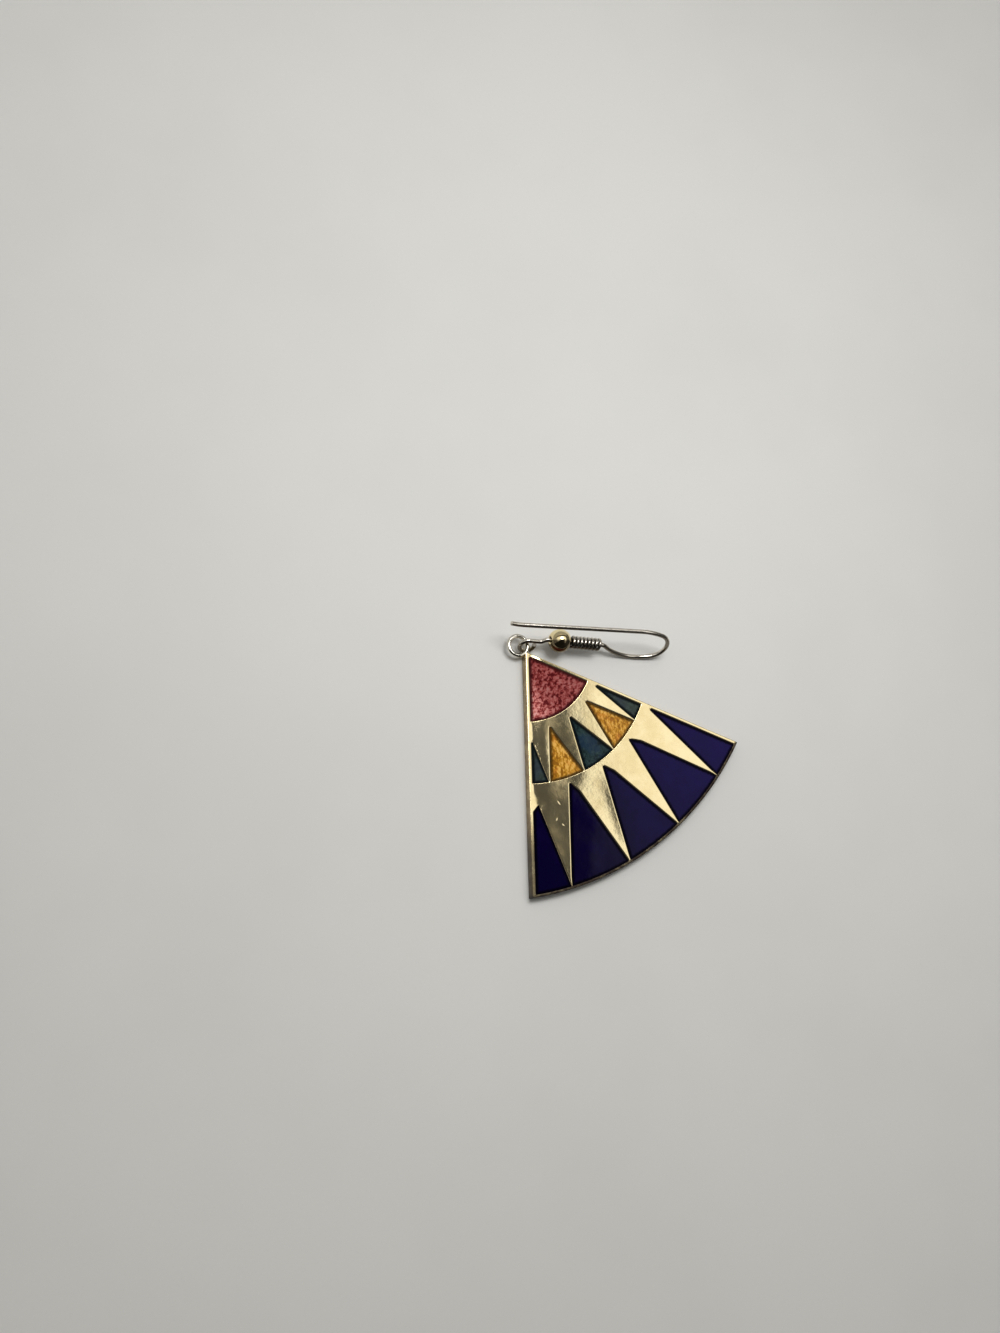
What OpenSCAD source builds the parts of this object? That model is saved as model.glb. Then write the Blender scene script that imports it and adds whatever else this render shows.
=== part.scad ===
// Fan earring: a gilt metal fan with enamel cells, hung from a bent ear wire.
// It lies on its back. The fan opens toward -Y and its back face is at z = 0.

/* [Fan plate] */
// Length of each straight side of the fan, from its point to a corner
side_length = 32.2; // [26:0.1:40]
// Angle between the middle line and each straight side
half_angle = 35.5; // [32:0.1:38]
// Thickness of the fan
plate_thickness = 1.4; // [1.3:0.05:2]
// Radius of the shallow outer edge
outer_edge_radius = 42.6; // [38:0.1:60]
// Distance from the fan's point down to the origin
point_to_origin = 17; // [10:0.5:25]

/* [Cells] */
// Angle from one cell to the next
cell_angle = 16.3; // [15:0.1:17]
// How far above the fan's point the cells have their common centre
centre_above_point = 1.13; // [0.8:0.05:1.6]
// Depth of the sunk cells
cell_depth = 0.55; // [0.3:0.05:0.8]
// How far the enamel stays below the metal walls
enamel_recess = 0.06; // [0.03:0.01:0.15]
// Gap between the enamel and the metal
enamel_gap = 0.03; // [0.02:0.01:0.06]
// Width of the metal rim along the straight sides
side_rim = 0.48; // [0.3:0.02:0.8]
// Width of the metal rim along the outer edge
outer_rim = 0.32; // [0.2:0.02:0.6]
// Width of each metal spike at its tip
spike_tip = 0.26; // [0.16:0.02:0.5]
// Radius of the red cell
red_radius = 10.28; // [8:0.1:11]
// Radius at which the triangles have their points
triangle_point_radius = 11.26; // [10.8:0.05:13]
// Radius of the triangles' bases
triangle_base_radius = 18.4; // [16:0.1:19]
// Radius at which the outer cells have their points
blue_point_radius = 19.05; // [18.8:0.05:22]
// Radius at which the outer metal spikes end
blue_tip_radius = 31.6; // [30:0.1:32]
// Distance from an outer cell's point to the bend in its side
shoulder_along = 1.5; // [1:0.1:2.5]
// Distance of that bend from the cell's middle line
shoulder_out = 0.92; // [0.6:0.02:1.2]

/* [Ring] */
// Radius of the ring to the middle of its wire
ring_radius = 1.3; // [1.1:0.05:1.8]
// Wire thickness of the ring and the ear wire
wire_thickness = 0.6; // [0.5:0.05:0.8]
// How far above the fan's point the ring's centre is
ring_above_point = 1.2; // [1:0.05:1.5]
// How far the ring sits off the middle line
ring_offset = -0.3; // [-0.5:0.05:0.5]

/* [Ear hook] */
// Direction in which the ear wire lies, turned from +X
hook_turn = -35.9; // [-50:0.1:-20]
// How far the ear wire leans up from flat
hook_roll = 64; // [55:1:75]
// Distance from the ring's centre to the eye's centre, along the ear wire
eye_along = 1.2; // [1.1:0.05:1.4]
// Distance from the ring's centre to the eye's centre, across the ear wire
eye_across = 0.08; // [0:0.02:0.3]
// Radius of the eye to the middle of its wire
eye_radius = 1; // [0.9:0.05:1.1]
// Angle that the eye's wire bends through
eye_angle = 285; // [270:1:300]
// Steepness of the short slope between bead and eye
neck_angle = 40; // [20:1:60]
// Length of the straight wire between that slope and the eye
neck_straight = 1.4; // [0.4:0.05:2]
// Bend radius of the eye's neck
neck_radius = 0.7; // [0.5:0.05:1.2]
// Length of the tip's straight leg
tip_length = 16.4; // [8:0.1:18]

/* [Bead and coil] */
// Diameter of the bead
bead_diameter = 3.1; // [2.4:0.1:4]
// Length of the bead along the wire
bead_length = 2.8; // [2:0.1:3.4]
// Gap between the ear wire and what is threaded on it
thread_gap = 0.05; // [0.03:0.01:0.1]
// Thickness of the coil's wire
coil_wire = 0.54; // [0.4:0.02:0.6]
// Distance from one turn of the coil to the next
coil_pitch = 0.56; // [0.55:0.01:0.7]
// Number of turns
coil_turns = 8; // [5:1:12]

/* [Hidden] */
round_steps = 96;
// Sides of the ear wire's tube, and the angles that its bends take in one step
wire_sides = 16;
bend_step = 12;
long_bend_step = 6;

gold = [0.86, 0.72, 0.42];
steel = [0.62, 0.6, 0.55];

// The fan's point and the centre of its cells lie on the Y axis.
point_y = point_to_origin;
cell_centre_y = point_y + centre_above_point;
corner_depth = side_length * cos(half_angle);
corner_out = side_length * sin(half_angle);
edge_centre_y = point_y - corner_depth + sqrt(pow(outer_edge_radius, 2) - pow(corner_out, 2));
wire_radius = wire_thickness / 2;
cell_floor = plate_thickness - cell_depth;
enamel_top = plate_thickness - enamel_recess;
enamel_thickness = enamel_top - cell_floor - enamel_gap;
beyond = 1.15 * side_length;

// The last triangle has its point beside the rim.
last_point_radius = 11;
last_point_angle = 29.8;

// The first blue cell starts further out, under a slanted wall.
slant_radius = 21.2;
slant_angle = -30.5;
slant_end_radius = 22.2;
slant_end_angle = -32.8;
slant_reach = 3;

function polar(radius, angle) = [radius * sin(angle), cell_centre_y - radius * cos(angle)];
function unit(v) = v / norm(v);
function left_of(v) = [-v.y, v.x];
function past(from, to, times) = from + times * (to - from);

// Moves each side of an anticlockwise outline inward by a gap.
function inset_corner(before, corner, after, gap) =
    let (n1 = left_of(unit(corner - before)), n2 = left_of(unit(after - corner)))
    corner + gap * (n1 + n2) / (1 + n1 * n2);
function inset(points, gap) =
    let (count = len(points))
    [for (i = [0 : count - 1])
        inset_corner(points[(i + count - 1) % count], points[i], points[(i + 1) % count], gap)];

// Half the angle that a spike's tip takes at a radius.
function tip_angle(radius) = asin(spike_tip / 2 / radius);

// Outlines of the cells; index 0 is on the middle line, and their far sides are cut by an arc.
function triangle_outline(index) =
    let (
        middle = index * cell_angle,
        half = cell_angle / 2 - tip_angle(triangle_base_radius),
        start = index == 2
            ? polar(last_point_radius, last_point_angle)
            : polar(triangle_point_radius, middle)
    )
    [start,
     past(start, polar(triangle_base_radius, middle - half), 1.2),
     past(start, polar(triangle_base_radius, middle + half), 1.2)];

function blue_outline(index) =
    let (
        middle = index * cell_angle,
        half = cell_angle / 2 - tip_angle(blue_tip_radius),
        start = polar(blue_point_radius, middle),
        along = unit(polar(blue_tip_radius, middle) - start),
        shoulder = start + shoulder_along * along + shoulder_out * left_of(along)
    )
    [start,
     past(start, polar(blue_tip_radius, middle - half), 1.2),
     past(shoulder, polar(blue_tip_radius, middle + half), 1.2),
     shoulder];

function first_blue_outline() =
    let (
        middle = -2 * cell_angle,
        half = cell_angle / 2 - tip_angle(blue_tip_radius),
        start = polar(slant_radius, slant_angle)
    )
    [start,
     past(start, polar(slant_end_radius, slant_end_angle), slant_reach),
     polar(beyond, 2 * middle),
     past(start, polar(blue_tip_radius, middle + half), 1.2)];

module cell_circle(radius) {
    translate([0, cell_centre_y])
        circle(r = radius, $fn = round_steps);
}

module edge_circle(inward) {
    translate([0, edge_centre_y])
        circle(r = outer_edge_radius - inward, $fn = round_steps);
}

module wedge(inward) {
    top = point_y - inward / sin(half_angle);
    polygon([
        [0, top],
        [-beyond * tan(half_angle), top - beyond],
        [beyond * tan(half_angle), top - beyond]
    ]);
}

// Each cell's plan. A gap above 0 gives the plan of the enamel in it.
module red_plan(gap) {
    intersection() {
        cell_circle(red_radius - gap);
        wedge(side_rim + gap);
    }
}

module triangle_plan(index, gap) {
    intersection() {
        polygon(inset(triangle_outline(index), gap));
        cell_circle(triangle_base_radius - gap);
        wedge(side_rim + gap);
    }
}

module blue_plan(index, gap) {
    outline = index == -2 ? first_blue_outline() : blue_outline(index);
    intersection() {
        polygon(inset(outline, gap));
        edge_circle(outer_rim + gap);
        wedge(side_rim + gap);
    }
}

module cut_cell() {
    translate([0, 0, cell_floor])
        linear_extrude(height = cell_depth + 1)
            children();
}

module enamel() {
    translate([0, 0, cell_floor + enamel_gap])
        linear_extrude(height = enamel_thickness)
            children();
}

module fan_plate() {
    color(gold) {
        difference() {
            linear_extrude(height = plate_thickness)
                intersection() {
                    wedge(0);
                    edge_circle(0);
                }
            cut_cell() red_plan(0);
            for (index = [-2 : 2])
                cut_cell() triangle_plan(index, 0);
            for (index = [-2 : 2])
                cut_cell() blue_plan(index, 0);
        }
        ring();
    }
}

module ring() {
    translate([ring_offset, point_y + ring_above_point, plate_thickness - wire_radius])
        rotate_extrude($fn = round_steps)
            translate([ring_radius, 0])
                circle(r = wire_radius, $fn = round_steps / 2);
}

module red_enamel() {
    color([0.72, 0.16, 0.2])
        enamel() red_plan(enamel_gap);
}

module teal_enamel(index) {
    color([0.05, 0.3, 0.34])
        enamel() triangle_plan(index, enamel_gap);
}

module amber_enamel(index) {
    color([0.85, 0.5, 0.12])
        enamel() triangle_plan(index, enamel_gap);
}

module blue_enamel(index) {
    color([0.06, 0.1, 0.42])
        enamel() blue_plan(index, enamel_gap);
}

// The ear wire is bent in one plane: its own X runs along the leg, and its Y toward the tip.
// Each row is a straight length, or a bend radius with the angle that it turns to the left.
STRAIGHT = 0;
RADIUS = 1;
TURN = 2;

neck_rows = [
    [bead_length / 2 + 0.2, 0, 0],
    [0, neck_radius, neck_angle],
    [0.3, 0, 0],
    [0, neck_radius, -neck_angle],
    [neck_straight, 0, 0],
    [0, eye_radius, eye_angle]
];
eye_row = 5;

coil_length = coil_turns * coil_pitch;
coil_start = bead_length / 2 + thread_gap;
leg_rows = [
    [coil_start + coil_length + 0.2, 0, 0],
    [0, 1, -36],
    [0, 8, 53.6],
    [0, 2.25, 145.4],
    [0, 9.3, 20.3],
    [tip_length, 0, 0],
    [0, 10, -12]
];
low_row = 2;

// Where a row ends, from where it starts and the heading there.
function row_end(row, start, heading) =
    row[TURN] == 0
        ? start + row[STRAIGHT] * [cos(heading), sin(heading)]
        : let (side = sign(row[TURN]), normal = side * [-sin(heading), cos(heading)])
          start + row[RADIUS] * (normal + side * [sin(heading + row[TURN]), -cos(heading + row[TURN])]);
function heading_at(rows, index, heading) =
    index == 0 ? heading : heading_at(rows, index - 1, heading) + rows[index - 1][TURN];
function start_at(rows, index, heading) =
    index == 0
        ? [0, 0]
        : row_end(rows[index - 1], start_at(rows, index - 1, heading), heading_at(rows, index - 1, heading));

// Stations along the wire, each a place and the heading there.
function row_part(row, share) = [row[STRAIGHT] * share, row[RADIUS], row[TURN] * share];
function row_steps(row) = max(1, ceil(abs(row[TURN]) / (row[RADIUS] > 3 ? long_bend_step : bend_step)));
function stations(rows, heading) =
    [for (index = [0 : len(rows) - 1])
        let (
            row = rows[index],
            start = start_at(rows, index, heading),
            from = heading_at(rows, index, heading),
            steps = row_steps(row)
        )
        for (step = [1 : steps])
            let (part = row_part(row, step / steps))
            [row_end(part, start, from), from + part[TURN]]];
function turned_back(list) = [for (i = [len(list) - 1 : -1 : 0]) [list[i].x, list[i].y + 180]];

// A round tube through the stations, closed at both ends.
module tube(list, radius, sides) {
    points = [for (station = list)
        for (side = [0 : sides - 1])
            let (
                angle = 360 * side / sides,
                out = station.x + radius * cos(angle) * [-sin(station.y), cos(station.y)]
            )
            [out.x, out.y, radius * sin(angle)]];
    last = len(list) - 1;
    first_cap = [for (side = [0 : sides - 1]) side];
    last_cap = [for (side = [sides - 1 : -1 : 0]) last * sides + side];
    walls = [for (ring = [0 : last - 1])
        for (side = [0 : sides - 1])
            let (next = (side + 1) % sides)
            [ring * sides + side, (ring + 1) * sides + side, (ring + 1) * sides + next, ring * sides + next]];
    polyhedron(points = points, faces = concat([first_cap], [last_cap], walls));
}

// The eye and the lowest stretch of the bend both touch what the earring lies on.
eye_centre = start_at(neck_rows, eye_row, 180) - [0, eye_radius];
low_centre = start_at(leg_rows, low_row, 0)
    + leg_rows[low_row][RADIUS] * [-sin(heading_at(leg_rows, low_row, 0)), cos(heading_at(leg_rows, low_row, 0))];
eye_bottom = eye_centre.y - eye_radius;
bend_bottom = low_centre.y - leg_rows[low_row][RADIUS];
hook_pitch = asin((bend_bottom - eye_bottom) * sin(hook_roll) / (low_centre.x - eye_centre.x));
rest_clearance = 0.02;
eye_centre_z = wire_radius + eye_radius * sin(hook_roll) + rest_clearance;

module lie_down() {
    translate([ring_offset, point_y + ring_above_point, eye_centre_z])
        rotate([0, 0, hook_turn])
            translate([eye_along, eye_across, 0])
                rotate([0, hook_pitch, 0])
                    rotate([hook_roll, 0, 0])
                        translate([-eye_centre.x, -eye_centre.y, 0])
                            children();
}

module ear_hook() {
    color(steel)
        lie_down()
            tube(concat(turned_back(stations(neck_rows, 180)), stations(leg_rows, 0)), wire_radius, wire_sides);
}

module hook_bead() {
    color(gold)
        lie_down()
            rotate([0, 90, 0])
                difference() {
                    intersection() {
                        sphere(d = bead_diameter, $fn = round_steps);
                        cylinder(h = bead_length, d = bead_diameter + 1, center = true, $fn = round_steps);
                    }
                    cylinder(h = bead_length + 1, r = wire_radius + thread_gap, center = true, $fn = round_steps / 2);
                }
}

module hook_coil() {
    inner = wire_radius + thread_gap;
    middle = inner + coil_wire / 2;
    color(steel)
        lie_down()
            translate([coil_start, 0, 0])
                rotate([0, 90, 0])
                    rotate_extrude($fn = round_steps) {
                        translate([inner, coil_wire / 2])
                            square([coil_wire / 2, coil_length - coil_wire]);
                        for (turn = [0 : coil_turns - 1])
                            translate([middle, coil_wire / 2 + turn * (coil_length - coil_wire) / (coil_turns - 1)])
                                circle(d = coil_wire, $fn = round_steps / 2);
                    }
}

fan_plate();
red_enamel();
teal_enamel(-2);  // teal_enamel_1
teal_enamel(0);  // teal_enamel_2
teal_enamel(2);  // teal_enamel_3
amber_enamel(-1);  // amber_enamel_1
amber_enamel(1);  // amber_enamel_2
blue_enamel(-2);  // blue_enamel_1
blue_enamel(-1);  // blue_enamel_2
blue_enamel(0);  // blue_enamel_3
blue_enamel(1);  // blue_enamel_4
blue_enamel(2);  // blue_enamel_5
ear_hook();
hook_bead();
hook_coil();
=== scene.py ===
from math import asin, atan2, ceil, cos, degrees, exp, pi, radians, sin, sqrt

import bmesh
import bpy
from mathutils import Matrix, Vector, geometry, kdtree, noise


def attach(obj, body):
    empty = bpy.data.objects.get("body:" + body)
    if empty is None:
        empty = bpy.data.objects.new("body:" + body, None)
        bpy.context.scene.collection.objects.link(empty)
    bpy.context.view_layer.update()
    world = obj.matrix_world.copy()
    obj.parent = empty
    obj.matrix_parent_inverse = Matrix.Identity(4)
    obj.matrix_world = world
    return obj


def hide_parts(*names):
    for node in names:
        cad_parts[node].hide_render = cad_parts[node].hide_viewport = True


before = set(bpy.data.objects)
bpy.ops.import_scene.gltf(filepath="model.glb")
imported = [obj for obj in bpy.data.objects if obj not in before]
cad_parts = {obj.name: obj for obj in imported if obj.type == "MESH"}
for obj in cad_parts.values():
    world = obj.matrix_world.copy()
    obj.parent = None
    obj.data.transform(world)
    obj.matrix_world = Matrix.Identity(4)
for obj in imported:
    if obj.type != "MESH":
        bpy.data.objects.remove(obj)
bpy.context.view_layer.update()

toMetres = Matrix.Scale(0.001, 4)


# Plan of the fan and its cells. The cells' radii and angles are about one centre above the fan's point.
fan = {
    "sideLength": 32.2,
    "halfAngle": 35.5,
    "thickness": 1.4,
    "outerEdgeRadius": 42.6,
    "pointY": 17.0,
    "cellAngle": 16.3,
    "cellsCentreY": 18.13,
    "cellDepth": 0.55,
    "sideRim": 0.48,
    "outerRim": 0.32,
    "spikeTip": 0.26,
    "redRadius": 10.28,
    "trianglePointRadius": 11.26,
    "triangleBaseRadius": 18.4,
    "bluePointRadius": 19.05,
    "blueTipRadius": 31.6,
    "shoulderAlong": 1.5,
    "shoulderOut": 0.92,
    "lastPoint": (11.0, 29.8),
    "slantStart": (21.2, -30.5),
    "slantEnd": (22.2, -32.8),
    "cornerRadius": 0.09,  # corners of the cells
    "rimRound": 0.08,  # rounding along the outside of the fan
    "wallRound": 0.18,  # widest rounding along a cell's edge
    "arcRound": 0.07,  # the same along a cell's arc
    "pointStep": 0.34,  # distance between points on the surfaces
    "leastStep": 0.01,  # points of a plan closer together than this become one
    "sharpTurn": 8,  # a corner that turns more gets a fan of points
    "fanTurn": 14,  # widest turn between two points of such a fan
}


def polar(radius, angle):
    turn = radians(angle)
    return Vector((radius * sin(turn), fan["cellsCentreY"] - radius * cos(turn)))


def leftOf(v):
    return Vector((-v.y, v.x))


def sideThrough(start, end):
    return start, leftOf((end - start).normalized())


def wedgeSides(inward):
    half = radians(fan["halfAngle"])
    apex = Vector((0, fan["pointY"] - inward / sin(half)))
    return [(apex, Vector((-cos(half), -sin(half)))), (apex, Vector((cos(half), -sin(half))))]


def edgeCentre():
    half = radians(fan["halfAngle"])
    rise = sqrt(fan["outerEdgeRadius"] ** 2 - (fan["sideLength"] * sin(half)) ** 2)
    return Vector((0, fan["pointY"] - fan["sideLength"] * cos(half) + rise))


def cellEnds(index, radius):
    # The angle of a cell's middle and its two outer corners.
    middle = index * fan["cellAngle"]
    half = fan["cellAngle"] / 2 - degrees(asin(fan["spikeTip"] / 2 / radius))
    return middle, polar(radius, middle - half), polar(radius, middle + half)


def redPlan():
    return {"sides": wedgeSides(fan["sideRim"]), "centre": polar(0, 0), "radius": fan["redRadius"]}


def trianglePlan(index):
    middle, left, right = cellEnds(index, fan["triangleBaseRadius"])
    start = polar(*fan["lastPoint"]) if index == 2 else polar(fan["trianglePointRadius"], middle)
    sides = [sideThrough(start, left), sideThrough(right, start)] + wedgeSides(fan["sideRim"])
    return {"sides": sides, "centre": polar(0, 0), "radius": fan["triangleBaseRadius"]}


def bluePlan(index):
    middle, left, right = cellEnds(index, fan["blueTipRadius"])
    if index == -2:
        start = polar(*fan["slantStart"])
        sides = [sideThrough(start, polar(*fan["slantEnd"])), sideThrough(right, start)]
    else:
        start = polar(fan["bluePointRadius"], middle)
        along = (polar(fan["blueTipRadius"], middle) - start).normalized()
        shoulder = start + fan["shoulderAlong"] * along + fan["shoulderOut"] * leftOf(along)
        sides = [sideThrough(start, left), sideThrough(right, shoulder), sideThrough(shoulder, start)]
    sides += wedgeSides(fan["sideRim"])
    return {"sides": sides, "centre": edgeCentre(), "radius": fan["outerEdgeRadius"] - fan["outerRim"]}


def fanPlan():
    return {"sides": wedgeSides(0), "centre": edgeCentre(), "radius": fan["outerEdgeRadius"]}


def depthInside(plan, point):
    depth = plan["radius"] - (point - plan["centre"]).length
    for start, normal in plan["sides"]:
        depth = min(depth, (point - start).dot(normal))
    return depth


def keepInside(points, start, normal):
    kept = []
    for i, here in enumerate(points):
        before = points[i - 1]
        depthHere = (here - start).dot(normal)
        depthBefore = (before - start).dot(normal)
        if (depthHere < 0) != (depthBefore < 0):
            kept.append(before.lerp(here, depthBefore / (depthBefore - depthHere)))
        if depthHere >= 0:
            kept.append(here)
    return kept


def corePolygon(plan, inward):
    # The plan moved inward, as an anticlockwise polygon with points close together.
    step = fan["pointStep"]
    radius = plan["radius"] - inward
    count = ceil(2 * pi * radius / step)
    turns = [2 * pi * i / count for i in range(count)]
    points = [plan["centre"] + radius * Vector((cos(turn), sin(turn))) for turn in turns]
    for start, normal in plan["sides"]:
        points = keepInside(points, start + inward * normal, normal)
    close = []
    for i, here in enumerate(points):
        before = points[i - 1]
        length = (here - before).length
        if length < fan["leastStep"]:
            continue
        pieces = max(1, round(length / step))
        close += [before.lerp(here, (k + 1) / pieces) for k in range(pieces)]
    return close


def outwardRays(core):
    # Each point of the polygon with the direction outward, and a fan of directions at a corner.
    rays = []
    for i, here in enumerate(core):
        normalIn = -leftOf((here - core[i - 1]).normalized())
        normalOut = -leftOf((core[(i + 1) % len(core)] - here).normalized())
        turn = atan2(normalIn.x * normalOut.y - normalIn.y * normalOut.x, normalIn.dot(normalOut))
        if turn < radians(fan["sharpTurn"]):
            rays.append((here, (normalIn + normalOut).normalized()))
            continue
        steps = ceil(turn / radians(fan["fanTurn"]))
        for k in range(steps + 1):
            rays.append((here, Matrix.Rotation(turn * k / steps, 2) @ normalIn))
    return rays


def addLoop(mesh, rays, distances, heights):
    # One distance or height stands for the whole loop; a height may be a function of the place.
    distances, heights = (v if isinstance(v, list) else [v] * len(rays) for v in (distances, heights))
    loop = []
    for (point, normal), distance, height in zip(rays, distances, heights):
        place = point + normal * distance
        loop.append(mesh.verts.new((place.x, place.y, height(place) if callable(height) else height)))
    return loop


def bridgeLoops(mesh, *loops):
    # Joins each loop to the next.
    for first, second in zip(loops, loops[1:]):
        for i in range(len(first)):
            j = (i + 1) % len(first)
            mesh.faces.new((first[i], first[j], second[j], second[i]))


def distanceTo(points):
    # A function for the distance from a place to the nearest of the points.
    tree = kdtree.KDTree(len(points))
    for i, place in enumerate(points):
        tree.insert((*place, 0), i)
    tree.balance()
    return lambda place: tree.find((*place, 0))[2]


def isInside(loop, place):
    # Counts how often a line to the right of the place crosses the loop.
    crossings = 0
    for i, here in enumerate(loop):
        before = loop[i - 1]
        if (here.y > place.y) != (before.y > place.y):
            share = (place.y - here.y) / (before.y - here.y)
            crossings += place.x < here.x + (before.x - here.x) * share
    return crossings % 2 == 1


def fillBetween(mesh, outer, holes, heightAt, margin, facesUp=True, closer=()):
    # Fills the space inside one loop and outside the others with small triangles.
    # Their points are an even spread, which keeps a margin from the loops, and the closer points.
    step = fan["pointStep"]
    rowRatio = 0.866  # of an even pattern of triangles
    fromCloser, fromLoop = 0.12, 0.05
    flatTurn, flatArea = 1e-4, 1e-9  # flatter triangles are left out
    loops = [[v.co.xy for v in loop] for loop in [outer] + holes]
    points, owners, edges = [], [], []
    for owner, loop in enumerate(loops):
        first = len(points)
        points += loop
        owners += [owner] * len(loop)
        edges += [(first + i, first + (i + 1) % len(loop)) for i in range(len(loop))]
    known = len(points)
    fromLoops = distanceTo(points)

    def isFree(place, least):
        free = fromLoops(place) >= least and isInside(loops[0], place)
        return free and not any(isInside(hole, place) for hole in loops[1:])

    lowX, highX = min(p.x for p in points), max(p.x for p in points)
    lowY, highY = min(p.y for p in points), max(p.y for p in points)
    for row in range(int((highY - lowY) / (step * rowRatio)) + 1):
        for column in range(int((highX - lowX) / step) + 1):
            place = Vector((lowX + (column + 0.5 * (row % 2)) * step, lowY + row * step * rowRatio))
            clear = all(abs(place.x - p.x) + abs(place.y - p.y) > fromCloser for p in closer)
            if clear and isFree(place, margin):
                points.append(place)
    points += [place for place in closer if isFree(place, fromLoop)]
    places, _, triangles, origins, _, _ = geometry.delaunay_2d_cdt(points, edges, [], 0, 1e-6)
    ringVerts = [v for loop in [outer] + holes for v in loop]
    onRing = [min((i for i in origin if i < known), default=None) for origin in origins]
    verts = []
    for place, ring in zip(places, onRing):
        verts.append(mesh.verts.new((*place, heightAt(place))) if ring is None else ringVerts[ring])
    for triangle in triangles:
        rings = sorted(onRing[i] for i in triangle if onRing[i] is not None)
        if len(rings) == 3 and owners[rings[0]] == owners[rings[2]]:
            # All on one loop: the order of its points tells on which side the triangle lies.
            a, b, c = (points[i] for i in rings)
            turn = (b - a).cross(c - a)
            longest = max((b - a).length_squared, (c - b).length_squared, (a - c).length_squared)
            if (turn > 0) != (owners[rings[0]] == 0) or abs(turn) < flatTurn * longest:
                continue
        a, b, c = (verts[i] for i in triangle)
        turn = (b.co - a.co).xy.cross((c.co - a.co).xy)
        if abs(turn) > flatArea:
            mesh.faces.new((a, b, c) if (turn > 0) == facesUp else (c, b, a))


def addObject(name, data):
    made = bpy.data.objects.new(name, data)
    bpy.context.scene.collection.objects.link(made)
    return made


def meshFrom(name, mesh, *materials):
    # Ends a bmesh and gives its plain mesh.
    data = bpy.data.meshes.new(name)
    mesh.to_mesh(data)
    mesh.free()
    for material in materials:
        data.materials.append(material)
    return data


def addPiece(name, data):
    # A mesh in metres becomes a piece that rides on the earring's one body.
    data.shade_smooth()
    piece = addObject(name, data)
    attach(piece, "root")
    return piece


def evaluatedMesh(carrier):
    # The plain mesh that an object's modifiers make. The object itself goes.
    data = bpy.data.meshes.new_from_object(carrier.evaluated_get(bpy.context.evaluated_depsgraph_get()))
    carrier.modifiers.clear()
    bpy.data.objects.remove(carrier)
    return data


def finishObject(name, mesh, material):
    # Turns a bmesh in millimetres into a piece.
    bmesh.ops.delete(mesh, geom=[v for v in mesh.verts if not v.link_faces], context="VERTS")
    data = meshFrom(name, mesh, material)
    data.transform(toMetres)
    return addPiece(name, data)


def storeNumbers(data, name, values):
    data.attributes.new(name, "FLOAT", "POINT").data.foreach_set("value", values)


def storeByPlace(piece, name, valueAt):
    # Stores a number for each point, from its place in millimetres.
    storeNumbers(piece.data, name, [valueAt(v.co * 1000) for v in piece.data.vertices])


# Helpers for the nodes. A socket knows the tree that it belongs to.
def setSockets(target, values):
    # Links sockets to a node's inputs and sets plain values on them.
    for key, value in values.items():
        if isinstance(value, bpy.types.NodeSocket):
            target.id_data.links.new(value, target.inputs[key])
        else:
            target.inputs[key].default_value = value


def node(tree, kind, inputs=None, output=0, **settings):
    # Makes a node and gives its first output, or the one that is named.
    made = tree.nodes.new(kind)
    for key, value in settings.items():
        setattr(made, key, value)
    setSockets(made, inputs or {})
    return made.outputs[output]


def startMaterial(name):
    material = bpy.data.materials.new(name)
    material.use_nodes = True
    tree = material.node_tree
    return material, tree, tree.nodes["Principled BSDF"], millimetres(tree)


def millimetres(tree, stretch=(1, 1, 1), turn=0):
    # Object coordinates in millimetres, turned about Z and then squeezed along their own axes.
    coordinates = node(tree, "ShaderNodeTexCoord", output="Object")
    scale = [0.001 / s for s in stretch]
    inputs = {"Vector": coordinates, "Rotation": (0, 0, radians(turn)), "Scale": scale}
    return node(tree, "ShaderNodeMapping", inputs, vector_type="TEXTURE")


def partOf(place, axis):
    return node(place.id_data, "ShaderNodeSeparateXYZ", {"Vector": place}, axis)


def noiseOn(vector, scale, detail=3, rough=0.55, distortion=0):
    inputs = {"Vector": vector, "Scale": scale, "Detail": detail, "Roughness": rough}
    return node(vector.id_data, "ShaderNodeTexNoise", {**inputs, "Distortion": distortion})


def rampOn(value, tone, **positions):
    # A ramp through some of an enamel's tones.
    ramp = node(value.id_data, "ShaderNodeValToRGB", {"Fac": value})
    elements = ramp.node.color_ramp.elements
    while len(elements) < len(positions):
        elements.new(0.5)
    for element, (name, position) in zip(elements, positions.items()):
        element.position = position
        element.color = (*tone[name], 1)
    return ramp


def mix(factor, first, second, blend="MIX"):
    first, second = ((*value, 1) if isinstance(value, tuple) else value for value in (first, second))
    inputs = {0: factor, 6: first, 7: second}
    return node(factor.id_data, "ShaderNodeMix", inputs, 2, data_type="RGBA", blend_type=blend)


def maths(operation, first, second=0.0, clamp=False):
    inputs = {0: first, 1: second}
    return node(first.id_data, "ShaderNodeMath", inputs, operation=operation, use_clamp=clamp)


def times(first, second):
    return maths("MULTIPLY", first, second)


def plus(first, second, clamp=False):
    return maths("ADD", first, second, clamp)


def larger(first, second):
    return maths("MAXIMUM", first, second)


def blended(first, second, share):
    # The first pattern by its share, the second by the rest.
    return plus(times(first, share), times(second, 1 - share))


def between(value, low, high, outLow=0.0, outHigh=1.0):
    inputs = {"Value": value, "From Min": low, "From Max": high, "To Min": outLow, "To Max": outHigh}
    return node(value.id_data, "ShaderNodeMapRange", inputs, interpolation_type="SMOOTHSTEP")


def attributeOf(tree, name):
    return node(tree, "ShaderNodeAttribute", output="Fac", attribute_name=name)


def bumpFrom(height, strength, distance):
    inputs = {"Height": height, "Strength": strength, "Distance": distance * 0.001}
    return node(height.id_data, "ShaderNodeBump", inputs)


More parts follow.
